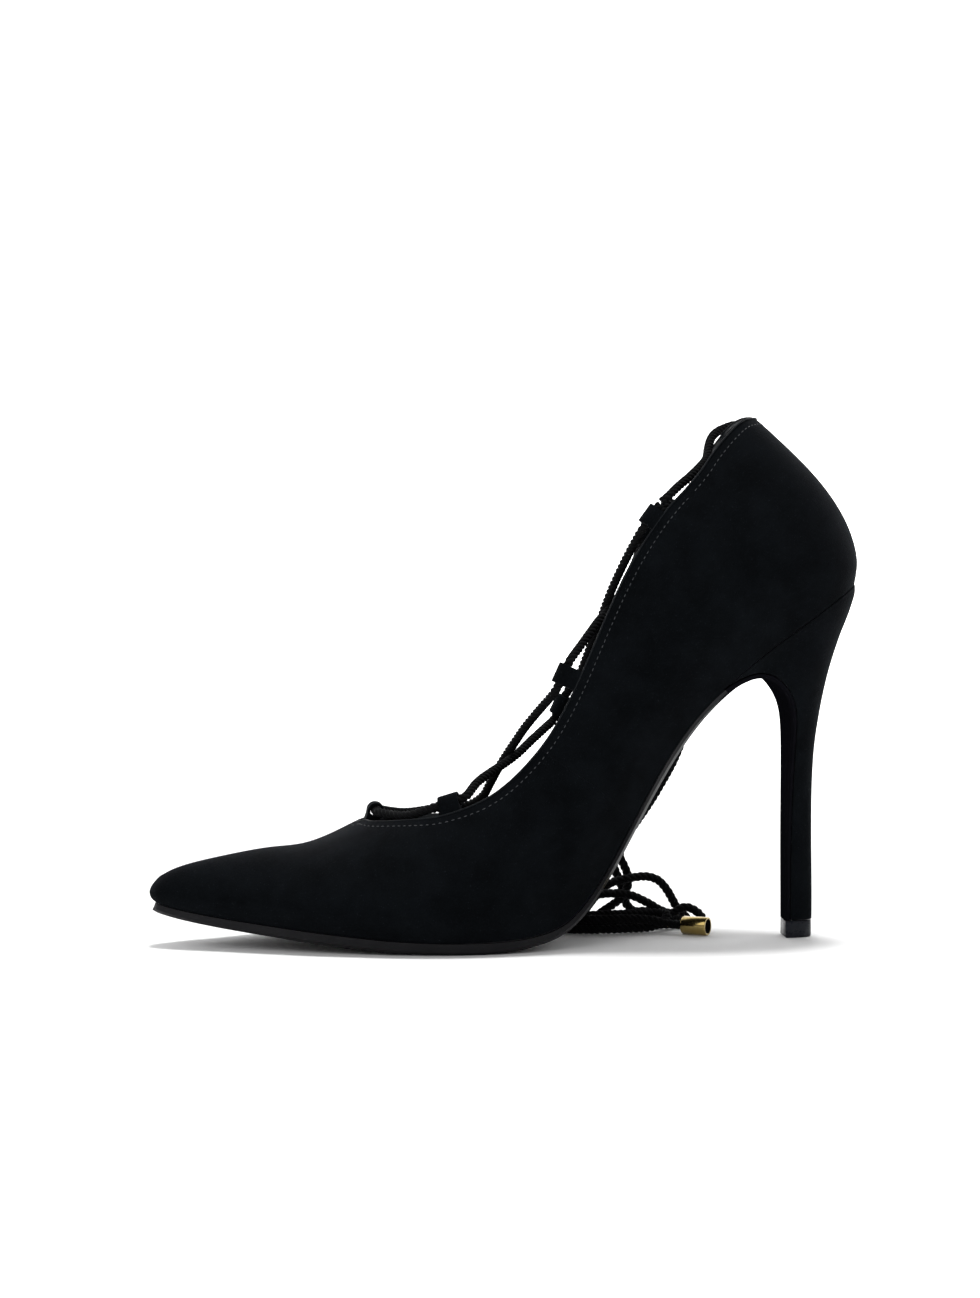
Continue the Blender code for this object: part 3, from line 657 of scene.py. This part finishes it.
def topline(build):
    """The closed line of corners between the outside and the topline edge, front to back."""
    steps = {}
    for edge in build.edges:
        if sorted(face.material_index for face in edge.link_faces) == [0, 2]:
            for vert in edge.verts:
                steps.setdefault(vert, []).append(edge.other_vert(vert))
    lines = []
    while steps:
        vert = next(iter(steps))
        line = []
        while vert:
            line.append(vert.co.copy())
            following = [other for other in steps.pop(vert) if other in steps]
            vert = following[0] if following else None
        lines.append(line)
    line = max(lines, key=lambda line: sum(point.z for point in line) / len(line))
    return [*line, line[0]]


def add_stitch(build, place, ahead, out, length, thick):
    """Add a rounded stitch, half sunk, to the bmesh."""
    side = out.cross(ahead).normalized()
    turn = Matrix((ahead * length / 2, side * thick / 2, out * thick / 2)).transposed().to_4x4()
    bmesh.ops.create_uvsphere(
        build, u_segments=6, v_segments=4, radius=1,
        matrix=Matrix.Translation(place) @ turn)


# Operators

class SHOE_OT_stage(bpy.types.Operator):
    """Floor, backdrop, lights and the camera of the photograph"""

    bl_idname = "shoe.stage"
    bl_label = "Stage and camera"

    def execute(self, context):
        target = CAMERA_TARGET - MIDDLE
        azimuth, elevation = math.radians(CAMERA_AZIMUTH), math.radians(CAMERA_ELEVATION)
        back = Vector((math.sin(azimuth) * math.cos(elevation),
                       -math.cos(azimuth) * math.cos(elevation), math.sin(elevation)))
        camera = bpy.data.objects.new("camera", bpy.data.cameras.new("camera"))
        camera.location = target + back * CAMERA_DISTANCE
        camera.rotation_euler = (-back).to_track_quat("-Z", "Y").to_euler()
        camera.data.lens = CAMERA_LENS
        camera.data.sensor_width = 36
        camera.data.clip_start = 0.05
        context.scene.collection.objects.link(camera)
        context.scene.camera = camera

        white = Nodes("studio_white")
        away = white.add("VectorMath", operation="LENGTH")
        white.join(white.place(), away.inputs[0])
        white.set(
            Base_Color=(0.92, 0.92, 0.92), Roughness=0.9, Specular_IOR_Level=0.1,
            Emission_Color=(1, 1, 1),
            Emission_Strength=white.spread(away.outputs["Value"], GLOW_START, GLOW_FULL),
        )
        build = bmesh.new()
        profile = [(FLOOR_NEAR, 0), (FLOOR_FAR, 0)]
        for angle in range(10, 91, 10):
            profile.append((FLOOR_FAR + COVE * math.sin(math.radians(angle)),
                            COVE - COVE * math.cos(math.radians(angle))))
        profile.append((FLOOR_FAR + COVE, BACKDROP_TOP))
        line = [build.verts.new((-STUDIO_HALF, y, z)) for y, z in profile]
        edges = [build.edges.new(pair) for pair in zip(line, line[1:])]
        swept = bmesh.ops.extrude_edge_only(build, edges=edges)
        moved = [item for item in swept["geom"] if isinstance(item, bmesh.types.BMVert)]
        bmesh.ops.translate(build, verts=moved, vec=(2 * STUDIO_HALF, 0, 0))
        bmesh.ops.recalc_face_normals(build, faces=build.faces)
        mesh = bpy.data.meshes.new("studio")
        build.to_mesh(mesh)
        build.free()
        mesh.materials.append(white.material)
        mesh.shade_smooth()
        studio = bpy.data.objects.new("studio", mesh)
        context.scene.collection.objects.link(studio)

        world = bpy.data.worlds.new("studio")
        world.use_nodes = True
        world.node_tree.nodes["Background"].inputs["Color"].default_value = (1, 1, 1, 1)
        world.node_tree.nodes["Background"].inputs["Strength"].default_value = WORLD_STRENGTH
        context.scene.world = world
        context.scene.view_settings.view_transform = "Standard"
        sun = bpy.data.lights.new("sun", "SUN")
        sun.energy = SUN_STRENGTH
        sun.angle = math.radians(SUN_SPREAD)
        lamp = bpy.data.objects.new("sun", sun)
        lamp.rotation_euler = SUN_FROM.to_track_quat("Z", "Y").to_euler()
        context.scene.collection.objects.link(lamp)
        soft = bpy.data.lights.new("soft", "AREA")
        soft.size = SOFT_SIZE
        soft.energy = SOFT_POWER
        lamp = bpy.data.objects.new("soft", soft)
        lamp.location = SOFT_PLACE
        lamp.rotation_euler = (SOFT_PLACE - SOFT_TARGET).to_track_quat("Z", "Y").to_euler()
        context.scene.collection.objects.link(lamp)
        return {"FINISHED"}


class SHOE_OT_lace_ends(bpy.types.Operator):
    """Free ends of the lace with their aglets"""

    bl_idname = "shoe.lace_ends"
    bl_label = "Lace ends"

    def execute(self, context):
        cord, gold = cord_material(), gold_material()
        for name, route in (("inner", LACE_END_INNER), ("outer", LACE_END_OUTER)):
            path = smooth_path([Vector(point) - MIDDLE for point in route], RING_SPACING)
            piece = new_piece(twisted_cord(path), "lace_end_cord_" + name, [cord],
                              ["lace_end_" + name])
            build = solid_copy("aglet_" + name)
            middle = sum((vert.co for vert in build.verts), Vector()) / len(build.verts)
            ahead = (Vector(route[-1]) - Vector(route[-2])).normalized()
            for face in build.faces:
                out = face.calc_center_median() - middle
                out -= ahead * out.dot(ahead)
                if face.normal.dot(out) < -1e-5:
                    face.material_index = 1
            round_creases(build, "aglet")
            tube = new_piece(build, "aglet_tube_" + name, [gold, cord],
                             ["aglet_" + name])
        return {"FINISHED"}


class SHOE_OT_lace(bpy.types.Operator):
    """The laced part of the lace"""

    bl_idname = "shoe.lace"
    bl_label = "Lace"

    def execute(self, context):
        centres = tube_centres("lace", Vector(LACE_END_INNER[0]) - MIDDLE)
        path = smooth_path(centres, RING_SPACING)
        material = bpy.data.materials["lace_cord"]
        new_piece(twisted_cord(path), "lace_cord", [material], ["lace"])
        return {"FINISHED"}


def upper_parts(build):
    """Mark the upper's faces: 0 outside, 1 lining, 2 topline edge."""
    sharp = set(sharp_edges(build, UPPER_CREASE))
    left, groups = set(build.faces), []
    while left:
        group, todo = set(), [next(iter(left))]
        while todo:
            face = todo.pop()
            if face not in left:
                continue
            left.discard(face)
            group.add(face)
            for edge in face.edges:
                if edge not in sharp:
                    todo += [other for other in edge.link_faces if other in left]
        groups.append(group)
    groups.sort(key=lambda group: -sum(face.calc_area() for face in group))
    for face in build.faces:
        face.material_index = 2
    for index, group in enumerate(groups[:2]):
        for face in group:
            face.material_index = index


class SHOE_OT_upper(bpy.types.Operator):
    """The suede upper with its lining and painted topline, whose edge and fold are toned lighter
    as a painted highlight
    """

    bl_idname = "shoe.upper"
    bl_label = "Upper"

    def execute(self, context):
        build = solid_copy("upper")
        upper_parts(build)
        rim = topline(build)
        hold_shape(build)
        round_edges(build, sharp_edges(build, UPPER_CREASE), sizes().rim)
        materials = [suede_material(), lining_material(), edge_material()]
        item = new_piece(build, "upper_suede", materials, ["upper"])
        subdivide(item)
        line = smooth_path(rim, sizes().stitch)
        surface = skin(item, (0,))
        build = bmesh.new()
        for place in range(1, len(line) - 1):
            point = surface.find_nearest(line[place])
            ahead = (line[place + 1] - line[place - 1]).normalized()
            down = ahead.cross(point[1]).normalized()
            down = -down if down.z > 0 else down
            there = surface.find_nearest(point[0] + down * sizes().seam)
            ahead = (ahead - there[1] * ahead.dot(there[1])).normalized()
            add_stitch(build, there[0], ahead, there[1], sizes().stitch * STITCH_SHARE,
                       sizes().thread)
        new_piece(build, "topline_stitches", [thread_material()])
        build = bmesh.new()
        # The fold along the topline takes the lighter edge tone, a painted highlight on the rim.
        add_tube(build, smooth_path(rim, FOLD_SPACING), sizes().binding / 2, FOLD_CORNERS)
        bmesh.ops.recalc_face_normals(build, faces=build.faces)
        new_piece(build, "topline_fold", [bpy.data.materials["edge_paint_and_highlight"]])
        return {"FINISHED"}


class SHOE_OT_side_seam(bpy.types.Operator):
    """The folded seam on the inner waist"""

    bl_idname = "shoe.side_seam"
    bl_label = "Side seam"

    def execute(self, context):
        surface = skin(bpy.data.objects["upper_suede"], (0,))
        line = []
        for point in smooth_path([Vector((x, 0, z)) for x, z in SIDE_SEAM], RING_SPACING):
            hit = surface.ray_cast(point + Vector((0, -0.08, 0)), Vector((0, 1, 0)))
            if hit[0] and hit[0].y < 0:
                line.append((hit[0], hit[1]))
        if len(line) < 20:
            raise RuntimeError("The side seam misses the upper")
        build = bmesh.new()
        sunk = [point - out * FOLD_DEPTH for point, out in line]
        add_tube(build, sunk, FOLD_RADIUS, FOLD_CORNERS)
        bmesh.ops.recalc_face_normals(build, faces=build.faces)
        new_piece(build, "side_seam_fold", [bpy.data.materials["black_suede"]])
        return {"FINISHED"}


class SHOE_OT_insole(bpy.types.Operator):
    """The insole with its sock"""

    bl_idname = "shoe.insole"
    bl_label = "Insole"

    def execute(self, context):
        build = solid_copy("insole")
        round_creases(build, "insole")
        item = new_piece(build, "insole_sock", [bpy.data.materials["lining_leather"]],
                         ["insole"])
        subdivide(item)
        return {"FINISHED"}


class SHOE_OT_outsole(bpy.types.Operator):
    """The glossy outsole with its breast flap"""

    bl_idname = "shoe.outsole"
    bl_label = "Outsole"

    def execute(self, context):
        build = solid_copy("outsole")
        round_edges(build, sharp_edges(build, SOLE_CREASE), sizes().sole_edge)
        for face in build.faces:
            if face.calc_center_median().x > BREAST_START:
                face.material_index = 1
        materials = [sole_material(), breast_material()]
        item = new_piece(build, "outsole_gloss", materials, ["outsole"])
        subdivide(item)
        return {"FINISHED"}


class SHOE_OT_heel(bpy.types.Operator):
    """The suede covered heel"""

    bl_idname = "shoe.heel"
    bl_label = "Heel"

    def execute(self, context):
        build = solid_copy("heel")
        hold_shape(build)
        round_creases(build, "heel")
        item = new_piece(build, "heel_cover", [bpy.data.materials["black_suede"]],
                         ["heel"])
        subdivide(item)
        return {"FINISHED"}


class SHOE_OT_top_piece(bpy.types.Operator):
    """The top piece under the heel"""

    bl_idname = "shoe.top_piece"
    bl_label = "Top piece"

    def execute(self, context):
        build = solid_copy("top_piece")
        round_creases(build, "top_piece")
        item = new_piece(build, "top_piece_plastic", [top_piece_material()],
                         ["top_piece"])
        item.data.set_sharp_from_angle(angle=math.radians(50))
        return {"FINISHED"}


class SHOE_OT_loops(bpy.types.Operator):
    """The folded suede loops on the topline"""

    bl_idname = "shoe.loops"
    bl_label = "Loops"

    def execute(self, context):
        surface = skin(bpy.data.objects["upper_suede"], (0, 1, 2))
        for node in sorted(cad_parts):
            if node.startswith("loop_"):
                build = solid_copy(node)
                for vert in build.verts:
                    near = surface.find_nearest(vert.co, LOOP_FOOT)
                    if near[0]:
                        vert.co = near[0] - near[1] * LOOP_SINK
                round_creases(build, "loop")
                item = new_piece(build, node + "_suede", [bpy.data.materials["black_suede"]],
                                 [node])
                subdivide(item)
        return {"FINISHED"}


class SHOE_PT_panel(bpy.types.Panel):
    """Sizes, colours and pieces of the shoe"""

    bl_label = "Lace up heel"
    bl_space_type = "VIEW_3D"
    bl_region_type = "UI"
    bl_category = "Shoe"

    def draw(self, context):
        for group in (context.scene.shoe_sizes, context.scene.shoe_colours):
            for key in group.__annotations__:
                self.layout.prop(group, key)
        for operator in OPERATORS:
            self.layout.operator(operator.bl_idname)


OPERATORS = (
    SHOE_OT_stage, SHOE_OT_lace_ends, SHOE_OT_lace, SHOE_OT_upper, SHOE_OT_side_seam,
    SHOE_OT_insole, SHOE_OT_outsole, SHOE_OT_heel, SHOE_OT_top_piece, SHOE_OT_loops,
)
CLASSES = (ShoeSizes, ShoeColours, *OPERATORS, SHOE_PT_panel)


def register():
    for kind in CLASSES:
        bpy.utils.register_class(kind)
    bpy.types.Scene.shoe_sizes = bpy.props.PointerProperty(type=ShoeSizes)
    bpy.types.Scene.shoe_colours = bpy.props.PointerProperty(type=ShoeColours)


def unregister():
    del bpy.types.Scene.shoe_sizes
    del bpy.types.Scene.shoe_colours
    for kind in reversed(CLASSES):
        bpy.utils.unregister_class(kind)


def main():
    """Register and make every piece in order."""
    register()
    bpy.ops.shoe.stage()
    bpy.ops.shoe.lace_ends()
    bpy.ops.shoe.lace()
    bpy.ops.shoe.upper()
    bpy.ops.shoe.side_seam()
    bpy.ops.shoe.insole()
    bpy.ops.shoe.outsole()
    bpy.ops.shoe.heel()
    bpy.ops.shoe.top_piece()
    bpy.ops.shoe.loops()


if __name__ == "__main__":
    main()
